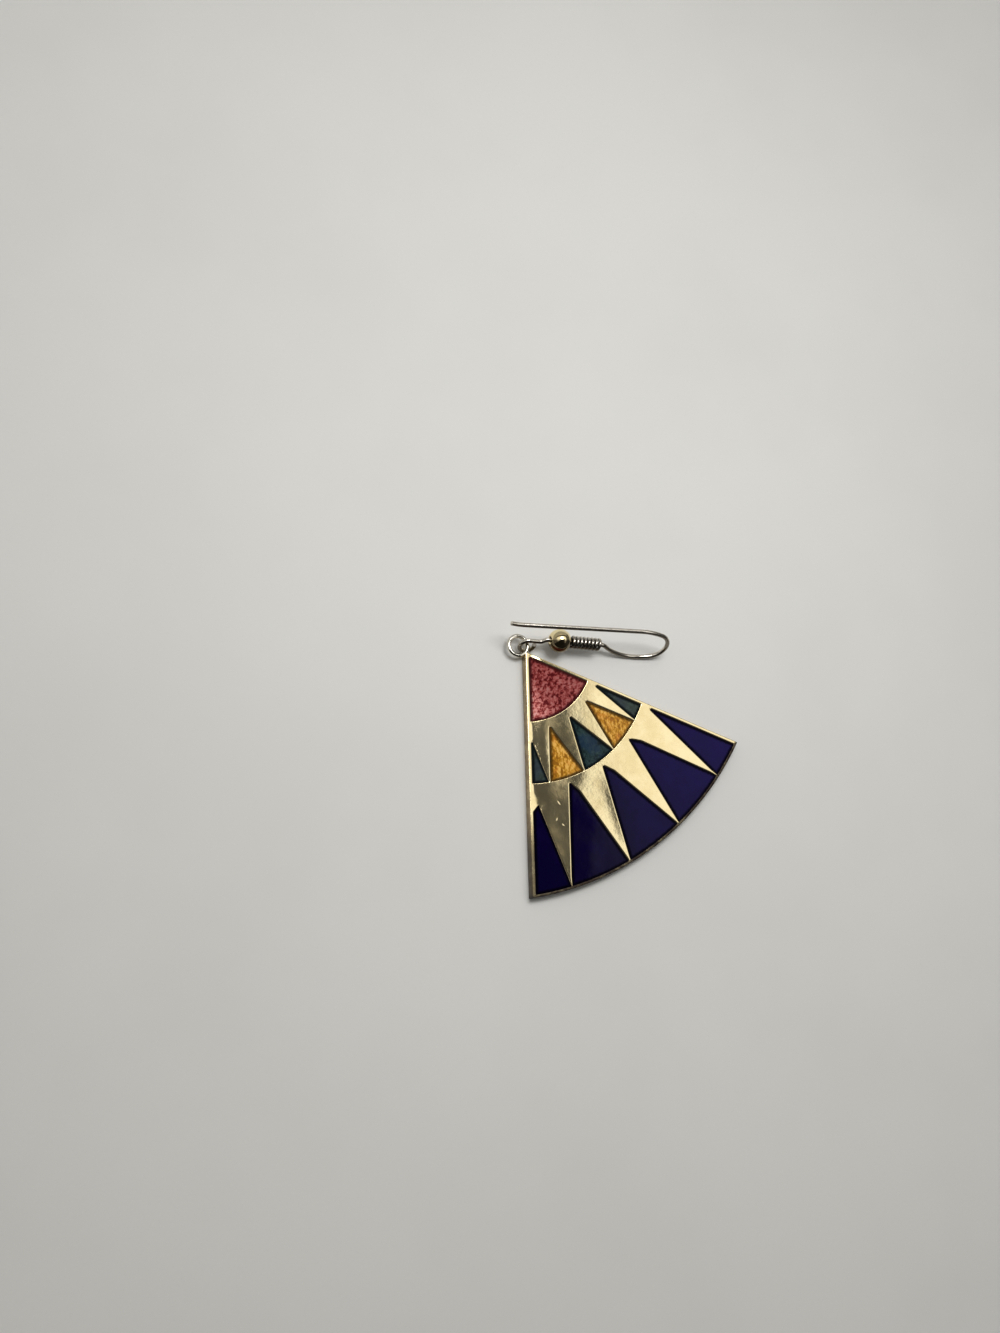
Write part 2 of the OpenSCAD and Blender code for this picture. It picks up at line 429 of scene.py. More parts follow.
giltSettings = {
    "bright": (0.94, 0.81, 0.49),
    "warm": (0.88, 0.72, 0.40),
    "spot": (0.62, 0.50, 0.29),
    "tarnish": (0.20, 0.125, 0.065),
    # painted dark reflection on the rims
    "rimReflectionTone": (0.032, 0.024, 0.019),
    # painted shade on the side of a piece that faces away from the light
    "underside": (0.11, 0.08, 0.05),
    "pale": (0.74, 0.71, 0.63),
    "cloudScale": 0.35,
    "speckleScale": 5.5,
    "edgeTarnish": 0.22,  # how far the tarnish reaches from an enamel edge
    "edgeShare": 0.6,
    "sideHeights": (1.12, 1.33),  # the stain on the fan's side fades between these heights
    # Direction of the scratches, stretch of their pattern, and where in it they fade in.
    "scratches": [
        (28, (0.5, 16, 0.5), 0.66, 0.74),
        (-41, (0.4, 14, 0.4), 0.67, 0.75),
        (83, (0.6, 18, 0.6), 0.68, 0.75),
    ],
    "scratchRough": 0.04,
    "scratchDepth": 0.06,
    "stainRough": 0.3,
    "polish": 0.03,
    "dull": 0.09,
    "bump": (0.22, 0.008),  # strength and height
}


def makeGilt():
    g = giltSettings
    material, tree, shader, place = startMaterial("giltMetal")
    cloud = noiseOn(place, g["cloudScale"], 4, 0.6)
    speckle = noiseOn(place, g["speckleScale"], 4, 0.7)
    body = mix(between(cloud, 0.35, 0.68), g["bright"], g["warm"])
    body = mix(between(speckle, 0.54, 0.8, 0, 0.5), body, g["spot"])

    # Tarnish lies along the enamel and down the side of the fan.
    inPlate = attributeOf(tree, "plate")
    wander = times(noiseOn(place, 2.2), g["edgeTarnish"])
    nearEdge = between(attributeOf(tree, "edge"), 0.0, wander, 1, 0)
    nearEdge = times(nearEdge, times(inPlate, g["edgeShare"]))
    side = times(between(partOf(place, "Z"), *g["sideHeights"], 1, 0), inPlate)
    stained = times(side, between(noiseOn(place, 0.9, 4, 0.6), 0.2, 0.6, 0.4, 0.85))
    stain = larger(nearEdge, stained)
    colour = mix(stain, body, g["tarnish"])
    # Painted dark reflection along the outer arc's rim and low on the left rim.
    rimReflection = times(attributeOf(tree, "darkRim"), between(noiseOn(place, 1.1), 0.25, 0.6, 0.88, 1.0))
    colour = mix(rimReflection, colour, g["rimReflectionTone"])
    colour = mix(attributeOf(tree, "ring"), colour, g["pale"])
    # Painted shade darkens the side of a piece that faces away from the light.
    under = times(attributeOf(tree, "under"), between(speckle, 0.3, 0.6, 0.75, 0.95))
    colour = mix(under, colour, g["underside"])

    # Hairline scratches run in three directions.
    lines = None
    for turn, stretch, low, high in g["scratches"]:
        streak = between(noiseOn(millimetres(tree, stretch, turn), 1.0, 2, 0.5), low, high)
        lines = larger(lines, streak) if lines else streak
    rough = between(cloud, 0.3, 0.75, g["polish"], g["dull"])
    rough = plus(rough, times(lines, g["scratchRough"]))
    rough = plus(rough, times(larger(stain, rimReflection), g["stainRough"]), clamp=True)
    mottle = plus(times(speckle, 0.25), noiseOn(place, 1.7, 2, 0.5))
    relief = maths("SUBTRACT", mottle, times(lines, g["scratchDepth"]))
    bump = bumpFrom(relief, *g["bump"])
    setSockets(shader, {"Base Color": colour, "Roughness": rough, "Normal": bump, "Metallic": 1})
    return material


steelSettings = {
    "clean": (0.76, 0.71, 0.63),
    "dark": (0.27, 0.22, 0.16),
    # painted shade on the side of the wire that faces away from the light
    "underside": (0.10, 0.08, 0.055),
    # painted shade in the grooves between the coil's turns
    "grooveShade": (0.045, 0.035, 0.025),
    "cloudScale": 0.8,
    "fineScale": 9,
    "drawnStretch": (0.8, 14, 14),  # marks of drawing run along the wire
    "drawnTurn": 36,
    "polish": 0.1,
    "dull": 0.24,
    "bump": (0.25, 0.012),
}


def makeSteel():
    s = steelSettings
    material, tree, shader, place = startMaterial("steelWire")
    cloud = noiseOn(place, s["cloudScale"], 4, 0.65)
    fine = noiseOn(place, s["fineScale"], 3, 0.6)
    colour = mix(between(cloud, 0.46, 0.8), s["clean"], s["dark"])
    # Painted shade darkens the side of the wire that faces away from the light.
    under = times(attributeOf(tree, "under"), between(fine, 0.3, 0.6, 0.7, 0.92))
    colour = mix(under, colour, s["underside"])
    # Painted shade darkens the grooves between the coil's turns.
    colour = mix(attributeOf(tree, "groove"), colour, s["grooveShade"])
    drawn = noiseOn(millimetres(tree, s["drawnStretch"], s["drawnTurn"]), 1.0, 3, 0.6)
    rough = between(blended(cloud, drawn, 0.6), 0.3, 0.7, s["polish"], s["dull"])
    bump = bumpFrom(plus(times(fine, 0.4), drawn), *s["bump"])
    setSockets(shader, {"Base Color": colour, "Roughness": rough, "Normal": bump, "Metallic": 1})
    return material


enamelSettings = {
    "blue": {"deep": (0.001, 0.0003, 0.003), "body": (0.0022, 0.0004, 0.023),
             "light": (0.0085, 0.0032, 0.074)},
    "red": {"deep": (0.045, 0.006, 0.007), "dark": (0.19, 0.022, 0.026), "body": (0.52, 0.105, 0.096),
            "light": (0.86, 0.31, 0.28), "brightest": (0.92, 0.48, 0.43), "farSide": (0.44, 0.28, 0.29)},
    "amber": {"deep": (0.055, 0.028, 0.006), "dark": (0.33, 0.135, 0.014), "body": (0.61, 0.277, 0.024),
              "light": (0.92, 0.52, 0.115), "glow": (0.80, 0.27, 0.05)},
    "teal": {"deep": (0.003, 0.005, 0.006), "body": (0.021, 0.044, 0.047), "light": (0.050, 0.088, 0.078),
             "bluish": (0.012, 0.031, 0.068), "greyish": (0.085, 0.088, 0.065)},
    "streaks": [(58, 0.48), (103, 0.3), (13, 0.22)],  # on the amber's foil: direction and share
    "border": (0.16, 0.52),  # painted shade: a dark line beside the metal, where the glaze also thins
    "bump": (0.3, 0.03),
    "ior": 1.5,
    "coat": 0.55,
    "borderCoat": 0.12,
    "coatBump": (0.2, 0.02),
    "coatRoughness": 0.05,
    "coatIor": 1.28,
}


def enamelShader(hue, pattern):
    e = enamelSettings
    material, tree, shader, place = startMaterial(hue + "Enamel")
    inside, relief = pattern(place)
    edge = attributeOf(tree, "edge")
    wander = plus(edge, between(noiseOn(place, 3.0), 0.3, 0.7, -0.05, 0.05))
    wave = noiseOn(place, 0.55, 2)
    setSockets(shader, {
        # Painted shade darkens the colour beside the metal; the thinner coat there is the glaze's own.
        "Base Color": mix(between(wander, *e["border"], 0.94, 0), inside, e[hue]["deep"]),
        "Roughness": between(noiseOn(place, 1.4, 4, 0.7), 0.35, 0.75, 0.2, 0.34),
        "Normal": bumpFrom(plus(wave, times(relief, 0.15)), *e["bump"]),
        "IOR": e["ior"],
        "Specular IOR Level": 0,
        "Coat Weight": between(wander, *e["border"], e["borderCoat"], e["coat"]),
        "Coat Roughness": e["coatRoughness"],
        "Coat IOR": e["coatIor"],
        "Coat Normal": bumpFrom(plus(wave, times(noiseOn(place, 6, 2), 0.12)), *e["coatBump"]),
    })
    return material


def bluePattern(place):
    tone = enamelSettings["blue"]
    cloud = noiseOn(place, 0.32, 4, 0.6)
    grain = noiseOn(place, 6.0, 3, 0.7)
    paler = between(partOf(place, "X"), -13.0, 19.0, 0, 0.85)
    paler = plus(paler, between(cloud, 0.35, 0.7, -0.15, 0.15), clamp=True)
    colour = mix(paler, tone["body"], tone["light"])
    return mix(between(grain, 0.5, 0.85, 0, 0.35), colour, tone["deep"]), grain


def redPattern(place):
    # Crinkled foil shows through the red: dark blotches on pink, duller toward the far side.
    tone = enamelSettings["red"]
    blotches = noiseOn(millimetres(place.id_data, (1, 1.25, 1), 20), 1.9, 2, 0.6, 0.35)
    both = blended(blotches, noiseOn(place, 5.0, 3, 0.7, 0.2), 0.7)
    colour = rampOn(both, tone, dark=0.42, body=0.485, light=0.55, brightest=0.64)
    far = between(partOf(place, "X"), -3.4, -0.6)
    far = plus(far, between(noiseOn(place, 0.3, 2), 0.4, 0.7, -0.1, 0.1), clamp=True)
    return mix(far, colour, tone["farSide"], "MULTIPLY"), both


def amberPattern(place):
    # Fine streaks cross on the foil under the amber.
    tone = enamelSettings["amber"]
    value = None
    for turn, share in enamelSettings["streaks"]:
        along = millimetres(place.id_data, (0.42, 1.3, 1), turn)
        streak = times(noiseOn(along, 2.0, 3, 0.62, 0.3), share)
        value = plus(value, streak) if value else streak
    colour = rampOn(value, tone, dark=0.44, body=0.495, light=0.55)
    return mix(between(noiseOn(place, 0.8, 2), 0.5, 0.72, 0, 0.34), colour, tone["glow"]), value


def tealPattern(place):
    tone = enamelSettings["teal"]
    value = blended(noiseOn(place, 1.1, 4, 0.62, 0.5), noiseOn(place, 5.5, 3, 0.7), 0.65)
    colour = rampOn(value, tone, deep=0.36, body=0.5, light=0.66)
    colour = mix(between(noiseOn(place, 0.5, 2), 0.45, 0.62, 0, 0.65), colour, tone["bluish"])
    # The cells at the fan's two sides are paler than the middle one.
    outer = between(maths("ABSOLUTE", partOf(place, "X")), 3.0, 7.0, 0, 0.32)
    return mix(outer, colour, tone["greyish"]), value


gilt = makeGilt()
steel = makeSteel()
patterns = {"red": redPattern, "teal": tealPattern, "amber": amberPattern, "blue": bluePattern}
enamels = {hue: enamelShader(hue, pattern) for hue, pattern in patterns.items()}
print("materials ready")


cells = [("red_enamel", "red", redPlan())]
cells += [(f"teal_enamel_{k + 1}", "teal", trianglePlan(2 * k - 2)) for k in range(3)]
cells += [(f"amber_enamel_{k + 1}", "amber", trianglePlan(2 * k - 1)) for k in range(2)]
cells += [(f"blue_enamel_{k + 1}", "blue", bluePlan(k - 2)) for k in range(5)]

glazeSettings = {
    "level": 1.345,  # height of the enamel in the middle of a cell
    "grooveDepth": 0.002,  # how far it sinks beside the metal
    "grooveWidth": 0.25,
    "waveHeight": 0.006,
    "waveLength": 2.6,
    "bottom": 0.87,
    "besideWall": (0.6, 0.15),  # loops of points at these shares of the corner's radius
    "rows": (0.2, 0.33, 0.5),  # distances from the wall with a row of points
    "rowRoom": 0.17,  # from the last row to the even spread of points
    "overlap": 0.004,  # how far it reaches into the wall, so that no gap shows
    "merge": 0.004,  # points of its face closer together become one
}


def waveAt(place, seed, length):
    return noise.noise(Vector((place.x, place.y, seed)) / length)


def makeEnamel(nodeName, hue, plan):
    e = glazeSettings
    corner = fan["cornerRadius"]

    def heightAt(place):
        groove = exp(-((max(0, depthInside(plan, place)) / e["grooveWidth"]) ** 2))
        return e["level"] - e["grooveDepth"] * groove + e["waveHeight"] * waveAt(place, 7, e["waveLength"])

    rays = outwardRays(corePolygon(plan, corner))
    mesh = bmesh.new()
    reach = corner + e["overlap"]
    bottom = addLoop(mesh, rays, reach, e["bottom"])
    distances = [reach] + [corner * share for share in e["besideWall"]]
    loops = [addLoop(mesh, rays, distance, heightAt) for distance in distances]
    bridgeLoops(mesh, bottom, *loops)
    mesh.faces.new(list(reversed(bottom)))
    bmesh.ops.remove_doubles(mesh, verts=loops[-1], dist=e["merge"])
    inner = [v for v in loops[-1] if v.is_valid]
    near = [point for inward in e["rows"] for point in corePolygon(plan, inward)]
    margin = e["rows"][-1] + e["rowRoom"] - corner * (1 - e["besideWall"][-1])
    fillBetween(mesh, inner, [], heightAt, margin, closer=near)
    piece = finishObject(nodeName + "_glaze", mesh, enamels[hue])
    storeByPlace(piece, "edge", lambda co: depthInside(plan, co.xy))
    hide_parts(nodeName)


for nodeName, hue, plan in cells:
    makeEnamel(nodeName, hue, plan)
print("enamel cells:", len(cells))


plateSettings = {
    "waveHeight": 0.007,  # the polished face is not quite flat
    "waveLength": 4.2,
    "rippleLength": 1.3,
    "topDrop": 0.012,  # room for the swellings, under the model's top
    "roundSteps": 4,
    "backRound": 0.07,
    "rimDrop": 0.75,  # height of the outer rim's rounding against its width
    "wallDrop": 0.4,  # the same for a cell's edge
    "wallFrom": 0.8,  # a wall this much along a cell's arc gets the narrow rounding
    "evenRounds": 4,  # rounds of evening out the widths along the wall
    "leastWidth": 0.02,
    "roomShare": 0.4,  # of the space to the next wall, for the rounding
    "supportWidth": 0.035,  # a loop of points this far inside the rounding keeps the face flat
    "supportShare": 0.06,  # the most that it takes of that space
    "supportPlace": 0.3,  # where it lies in its width at the rim
    "rimLift": 0.03,  # the left rim slopes toward the cells
    "rimWidth": 0.46,
    "rimFade": 2.6,
    "rimSpan": (-9, 2),  # the slope grows between these places along the fan
    # Faint swellings and hollows of the face: x, y, direction, half length, width, height.
    "swellings": [
        (-1.95, -7.2, 70.5, 4.8, 0.95, 0.012),
        (-10.35, 0.1, 54.5, 1.0, 0.9, -0.033),
        (-4.2, 3.7, 73.7, 4.5, 1.7, -0.02),
        (-7.0, -5.9, 73.7, 7.0, 2.6, 0.012),
    ],
    # Small dents: x, y, direction, half length.
    "nicks": [(-8.17, -1.5, 95, 0.2), (-9.7, -3.07, 20, 0.16), (-9.39, -4.12, 110, 0.13)],
    "nickWidth": 0.06,
    "nickDepth": 0.009,
    "nickPoints": (9, 0.055),  # rows of points on each side of a nick, and their distance
    # strength of the painted dark reflection low on the left rim
    "rimReflectionShare": 0.85,
    "rimReflectionSpan": (-5, 0),  # the left rim's painted dark reflection ends between these places
    "arcFade": (-0.02, 0.12),  # the outer rim's ends between these distances from the rim
    "sideFade": 0.1,
    "cellFade": (-0.15, -0.01),
    "pointSlack": 0.8,  # a cell's edge lies at most this share of a step from its points
    "noEdge": 0.5,  # distance to an edge where none is near
    "faceHeights": (1.2, 1.41),
    "solderFrom": 16.6,  # beyond this place along the fan lie the solder and the ring
    "plateEnd": (16.55, 16.85),
    "ringStart": (16.6, 17.0),
}

leftSide = wedgeSides(0)[1]
quarterTurns = [pi / 2 * k / plateSettings["roundSteps"] for k in range(plateSettings["roundSteps"] + 1)]


def stepUp(value, low, high):
    share = max(0.0, min(1.0, (value - low) / (high - low)))
    return share * share * (3 - 2 * share)


def seenFrom(place, x, y, turn):
    # The place along and across a direction, from a point of the face.
    return Matrix.Rotation(-radians(turn), 2) @ Vector((place.x - x, place.y - y))


def plateTop(place):
    p = plateSettings
    wave = 0.6 + 0.5 * waveAt(place, 3, p["waveLength"]) + 0.12 * waveAt(place, 11, p["rippleLength"])
    height = fan["thickness"] - p["topDrop"] - p["waveHeight"] * wave
    fromLeft = (place - leftSide[0]).dot(leftSide[1])
    slope = min(max(0.0, fromLeft / p["rimWidth"]), 1 - stepUp(fromLeft, p["rimWidth"], p["rimFade"]))
    height -= p["rimLift"] * slope * stepUp(place.y, *p["rimSpan"])
    for x, y, turn, length, width, rise in p["swellings"]:
        offset = seenFrom(place, x, y, turn)
        height += rise * exp(-((offset.x / length) ** 4) - (offset.y / width) ** 2)
    for x, y, turn, length in p["nicks"]:
        offset = seenFrom(place, x, y, turn)
        away = (offset.x / length) ** 2 + (offset.y / p["nickWidth"]) ** 2
        if away < 6:
            height -= p["nickDepth"] * exp(-away)
    return height


def pointsAtNicks():
    # Closer points round each nick, so that the dent keeps its shape.
    rows, apart = plateSettings["nickPoints"]
    steps = [i * apart for i in range(-rows, rows + 1)]
    return [Vector((x + i, y + k)) for x, y, _, _ in plateSettings["nicks"] for i in steps for k in steps]


fromWalls = distanceTo([point for _, _, plan in cells for point in corePolygon(plan, fan["cornerRadius"])])


def edgeDistance(place):
    # Distance from a place on the metal to the nearest cell or to the outside of the fan.
    beside = min(-depthInside(plan, place) for _, _, plan in cells)
    beyondPoint = fromWalls(place) - plateSettings["pointSlack"] * fan["pointStep"]
    return min(depthInside(fanPlan(), place), max(beside, beyondPoint))


def darkRimShare(place):
    # Painted dark reflection: 1 on the rim along the outer arc and beside the cells low on the left, fading
    # inward.
    p = plateSettings
    flat = place.xy
    plan = fanPlan()
    arc = plan["radius"] - (flat - plan["centre"]).length
    share = 1 - stepUp(arc, *(fan["outerRim"] + beside for beside in p["arcFade"]))
    rim = fan["sideRim"]
    rimEnd = rim + p["sideFade"]
    apex, inward = leftSide
    depth = (flat - apex).dot(inward)
    if depth < rimEnd:
        besideRim = flat + (rim - depth) * inward
        inCell = max(depthInside(other, besideRim) for _, _, other in cells)
        lowOnFan = p["rimReflectionShare"] * (1 - stepUp(place.y, *p["rimReflectionSpan"]))
        share = max(share, lowOnFan * stepUp(inCell, *p["cellFade"]) * (1 - stepUp(depth, rim, rimEnd)))
    return share


def roomBeside(place, own, walls):
    # Distance from a place on one wall to the nearest other wall.
    return min((place - other).length for wall in walls if wall is not own for other in wall)


def makeOutside(mesh, rays, core):
    # The back's rounding, the side, then the rounding up to the face.
    p = plateSettings
    back, rim = p["backRound"], fan["rimRound"]
    loops = []
    for turn in quarterTurns:
        loops.append(addLoop(mesh, rays, core - back * (1 - sin(turn)), back * (1 - cos(turn))))
    for turn in quarterTurns:
        drop = p["rimDrop"] * rim * (1 - sin(turn))
        distance = core - rim * (1 - cos(turn))
        loops.append(addLoop(mesh, rays, distance, lambda place: plateTop(place) - drop))
    loops.append(addLoop(mesh, rays, p["supportPlace"] * p["supportWidth"], plateTop))
    bridgeLoops(mesh, *loops)
    return loops


def makeCell(mesh, rays, rooms):
    # The rounded edge, the wall and the floor of one cell.
    p = plateSettings
    corner = fan["cornerRadius"]
    widest = []
    for point, normal in rays:
        alongArc = abs(normal.dot((point - polar(0, 0)).normalized()))
        widest.append(fan["wallRound"] if alongArc < p["wallFrom"] else fan["arcRound"])
    for _ in range(p["evenRounds"]):
        following = widest[1:] + widest[:1]
        widest = [(widest[i - 1] + widest[i] + following[i]) / 3 for i in range(len(widest))]
    widths = [max(p["leastWidth"], min(most, p["roomShare"] * room)) for most, room in zip(widest, rooms)]
    supports = [min(p["supportWidth"], p["supportShare"] * room) for room in rooms]
    reach = [corner + width + extra for width, extra in zip(widths, supports)]
    loops = [addLoop(mesh, rays, reach, plateTop)]
    for turn in reversed(quarterTurns):
        distances = [corner + width * (1 - cos(turn)) for width in widths]
        drops = [p["wallDrop"] * width * (1 - sin(turn)) for width in widths]
        heights = [lambda place, drop=drop: plateTop(place) - drop for drop in drops]
        loops.append(addLoop(mesh, rays, distances, heights))
    loops.append(addLoop(mesh, rays, corner, fan["thickness"] - fan["cellDepth"]))
    bridgeLoops(mesh, *loops)
    mesh.faces.new(loops[-1])
    return loops[0]


def makePlate():
    mesh = bmesh.new()
    corner = fan["cornerRadius"]
    outerCore = fan["rimRound"] + plateSettings["supportWidth"]
    outerRays = outwardRays(corePolygon(fanPlan(), outerCore))
    cellRays = [outwardRays(corePolygon(plan, corner)) for _, _, plan in cells]
    walls = [[point + normal * corner for point, normal in rays] for rays in cellRays]
    walls.append([point + normal * outerCore for point, normal in outerRays])
    outside = makeOutside(mesh, outerRays, outerCore)
    holes = []
    for rays, wall in zip(cellRays, walls):
        holes.append(makeCell(mesh, rays, [roomBeside(place, wall, walls) for place in wall]))
    spread = 0.55 * fan["pointStep"]
    fillBetween(mesh, outside[-1], holes, plateTop, spread, closer=pointsAtNicks())
    fillBetween(mesh, outside[0], [], lambda place: 0.0, spread, facesUp=False)
    return mesh


ringSettings = {
    "centre": (-0.3, 18.2, 1.1),
    "radius": 1.3,
    "wire": 0.3,
    "around": 96,
    "across": 20,
    "wobble": 0.02,
    # Blobs of solder: place and half sizes.
    "solder": [
        ((-0.12, 16.86, 1.08), (0.62, 0.34, 0.26)),
        ((-0.75, 16.98, 1.1), (0.3, 0.24, 0.24)),
        ((0.3, 17.0, 1.1), (0.28, 0.22, 0.24)),
    ],
    "voxel": 0.045,
    "relax": (0.5, 6),  # factor and rounds
}


def makeRing():
    # The ring and its solder, melted together.
    r = ringSettings
    mesh = bmesh.new()
    loops = []
    for i in range(r["around"]):
        turn = 2 * pi * i / r["around"]
        wire = r["wire"] * (1 + r["wobble"] * noise.noise(Vector((cos(turn), sin(turn), 2)) * 2))
        loop = []
        for k in range(r["across"]):
            lean = 2 * pi * k / r["across"]
            out = r["radius"] + wire * cos(lean)
            loop.append(mesh.verts.new((out * cos(turn), out * sin(turn), wire * sin(lean))))
        loops.append(loop)
    lines = list(zip(*loops))
    bridgeLoops(mesh, *lines, lines[0])
    mesh.transform(Matrix.Translation(r["centre"]))
    for place, size in r["solder"]:
        shape = Matrix.Translation(place) @ Matrix.Diagonal((*size, 1))
        bmesh.ops.create_icosphere(mesh, subdivisions=3, radius=1, matrix=shape)
    draft = addObject("ringDraft", meshFrom("ringDraft", mesh))
    remesh = draft.modifiers.new("join", "REMESH")
    remesh.mode = "VOXEL"
    remesh.voxel_size = r["voxel"]
    relax = draft.modifiers.new("relax", "SMOOTH")
    relax.factor, relax.iterations = r["relax"]
    return evaluatedMesh(draft)


def isOnFan(place):
    return place.y < plateSettings["solderFrom"]


def edgeShownAt(place):
    low, high = plateSettings["faceHeights"]
    onFace = low < place.z < high and isOnFan(place)
    return max(0, edgeDistance(place.xy)) if onFace else plateSettings["noEdge"]


plateMesh = makePlate()
plateMesh.from_mesh(makeRing())
plate = finishObject("fanPlateGilt", plateMesh, gilt)
storeByPlace(plate, "edge", edgeShownAt)
# Where the rims get their painted dark reflection.
storeByPlace(plate, "darkRim", lambda co: darkRimShare(co) if isOnFan(co) else 0.0)
storeByPlace(plate, "plate", lambda co: 1 - stepUp(co.y, *plateSettings["plateEnd"]))
storeByPlace(plate, "ring", lambda co: stepUp(co.y, *plateSettings["ringStart"]))
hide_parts("fan_plate")
print("plate:", len(plate.data.polygons), "faces")


hookSettings = {
    "wire": 0.298,
    "sides": 20,
    # Rows of the wire's path: length, or radius and angle, turned to the left.
    "neckRows": [(1.6, 0, 0), (0, 0.7, 40), (0.3, 0, 0), (0, 0.7, -40), (1.4, 0, 0), (0, 1, 285)],
    "legRows": [(6.13, 0, 0), (0, 1, -36), (0, 8, 53.6), (0, 2.25, 145.4), (0, 9.3, 20.3), (16.4, 0, 0),
                (0, 10, -12)],
    "turn": -35.9,
    "roll": 64,
    "eyeAlong": 1.2,
    "eyeAcross": 0.08,
    "eyeRadius": 1.0,
    "clearance": 0.02,  # of the wire above the surface
    "step": 0.12,
    "endSteps": 6,  # points on each rounded end of the wire
    "endLength": 0.8,  # of that rounding against the wire's radius
    # Painted shade: the direction away from the light, and where the darkening fades in.
    "shadeDirection": (-0.55, -0.82, -0.2),
    "underside": (0.1, 0.45),
}


def wayAt(heading):
    return Vector((cos(radians(heading)), sin(radians(heading))))


def wirePath(rows, heading):
    # Points along bends and straights, with the place and heading after each row.
    place = Vector((0, 0))
    points = [place]
    ends = [(place, heading)]
    for length, radius, turn in rows:
        if turn == 0:
            count = ceil(length / (4 * hookSettings["step"]))
            points += [place + wayAt(heading) * length * k / count for k in range(1, count + 1)]
        else:
            side = radius if turn > 0 else -radius
            centre = place + side * leftOf(wayAt(heading))
            count = max(3, ceil(radians(abs(turn)) * radius / hookSettings["step"]))
            headings = [heading + turn * k / count for k in range(1, count + 1)]
            points += [centre - side * leftOf(wayAt(way)) for way in headings]
            heading += turn
        place = points[-1]
        ends.append((place, heading))
    return points, ends


def lieDown():
    # The eye and the low stretch of the bend touch the surface, so the wire leans and pitches.
    h = hookSettings
    neck = wirePath(h["neckRows"], 180)[1]
    leg = wirePath(h["legRows"], 0)[1]
    eye = neck[5][0] - Vector((0, h["eyeRadius"]))
    lowPlace, lowHeading = leg[2]
    lowRadius = h["legRows"][2][1]
    low = lowPlace + lowRadius * leftOf(wayAt(lowHeading))
    roll = radians(h["roll"])
    pitch = asin(((low.y - lowRadius) - (eye.y - h["eyeRadius"])) * sin(roll) / (low.x - eye.x))
    centre = ringSettings["centre"]
    height = h["wire"] + h["eyeRadius"] * sin(roll) + h["clearance"]
    return (
        Matrix.Translation((centre[0], centre[1], height))
        @ Matrix.Rotation(radians(h["turn"]), 4, "Z")
        @ Matrix.Translation((h["eyeAlong"], h["eyeAcross"], 0))
        @ Matrix.Rotation(pitch, 4, "Y")
        @ Matrix.Rotation(roll, 4, "X")
        @ Matrix.Translation((-eye.x, -eye.y, 0))
    )


hookPlace = lieDown()


def startTree(name, values):
    # A geometry tree with a named input for each value, and these inputs.
    kinds = {float: "Float", int: "Int"}
    tree = bpy.data.node_groups.new(name, "GeometryNodeTree")
    tree.interface.new_socket("Geometry", in_out="INPUT", socket_type="NodeSocketGeometry")
    for label, value in values.items():
        kind = kinds.get(type(value), "Material")
        tree.interface.new_socket(label, in_out="INPUT", socket_type="NodeSocket" + kind)
    tree.interface.new_socket("Geometry", in_out="OUTPUT", socket_type="NodeSocketGeometry")
    return tree, tree.nodes.new("NodeGroupInput").outputs


def sweepWire(tree, entry, curve, base, values):
    # Ends the tree with a round wire along the curve and gives the plain mesh that it makes.
    circle = {"Resolution": entry["Sides"], "Radius": entry["Wire Radius"]}
    profile = node(tree, "GeometryNodeCurvePrimitiveCircle", circle)
    sweep = {"Curve": curve, "Profile Curve": profile, "Fill Caps": True}
    tube = node(tree, "GeometryNodeCurveToMesh", sweep)
    smooth = node(tree, "GeometryNodeSetShadeSmooth", {"Geometry": tube})
    realized = node(tree, "GeometryNodeRealizeInstances", {"Geometry": smooth})
    painted = node(tree, "GeometryNodeSetMaterial", {"Geometry": realized, "Material": entry["Metal"]})
    tree.links.new(painted, tree.nodes.new("NodeGroupOutput").inputs["Geometry"])
    carrier = addObject("carrier", base)
    modifier = carrier.modifiers.new("build", "NODES")
    modifier.node_group = tree
    for item in tree.interface.items_tree:
        if item.name in values:
            modifier[item.identifier] = values[item.name]
    return evaluatedMesh(carrier)


def placePiece(name, data, place, underside, nodeName):
    # Turns a mesh into place, scales it to metres, closes its seams and replaces the node by it.
    data.transform(toMetres @ place)
    mesh = bmesh.new()
    mesh.from_mesh(data)
    bmesh.ops.remove_doubles(mesh, verts=mesh.verts, dist=1e-7)
    bmesh.ops.recalc_face_normals(mesh, faces=mesh.faces)
    mesh.to_mesh(data)
    mesh.free()
    piece = addPiece(name, data)
    # Painted shade: 1 where the metal faces away from the light, where its colour is darkened.
    way = Vector(hookSettings["shadeDirection"]).normalized()
    storeNumbers(data, "under", [stepUp(v.normal.dot(way), *underside) for v in data.vertices])
    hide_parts(nodeName)
    print(name, "in place:", len(data.polygons), "faces")
    return piece


def roundedEnd(points):
    # Adds points close together at the end of a path, with the share of the thickness at each.
    h = hookSettings
    last, before = points[-1], points[-2]
    way = (last - before).normalized()
    extra = []
    for k in range(1, h["endSteps"] + 1):
        turn = pi / 2 * k / h["endSteps"]
        extra.append((last + way * h["wire"] * h["endLength"] * (sin(turn) - 1), max(0.04, cos(turn))))
    base = [(p, 1.0) for p in points[:-1] if (p - last).length > h["wire"] * (h["endLength"] + 0.1)]
    return base + [(last - way * h["wire"] * h["endLength"], 1.0)] + extra


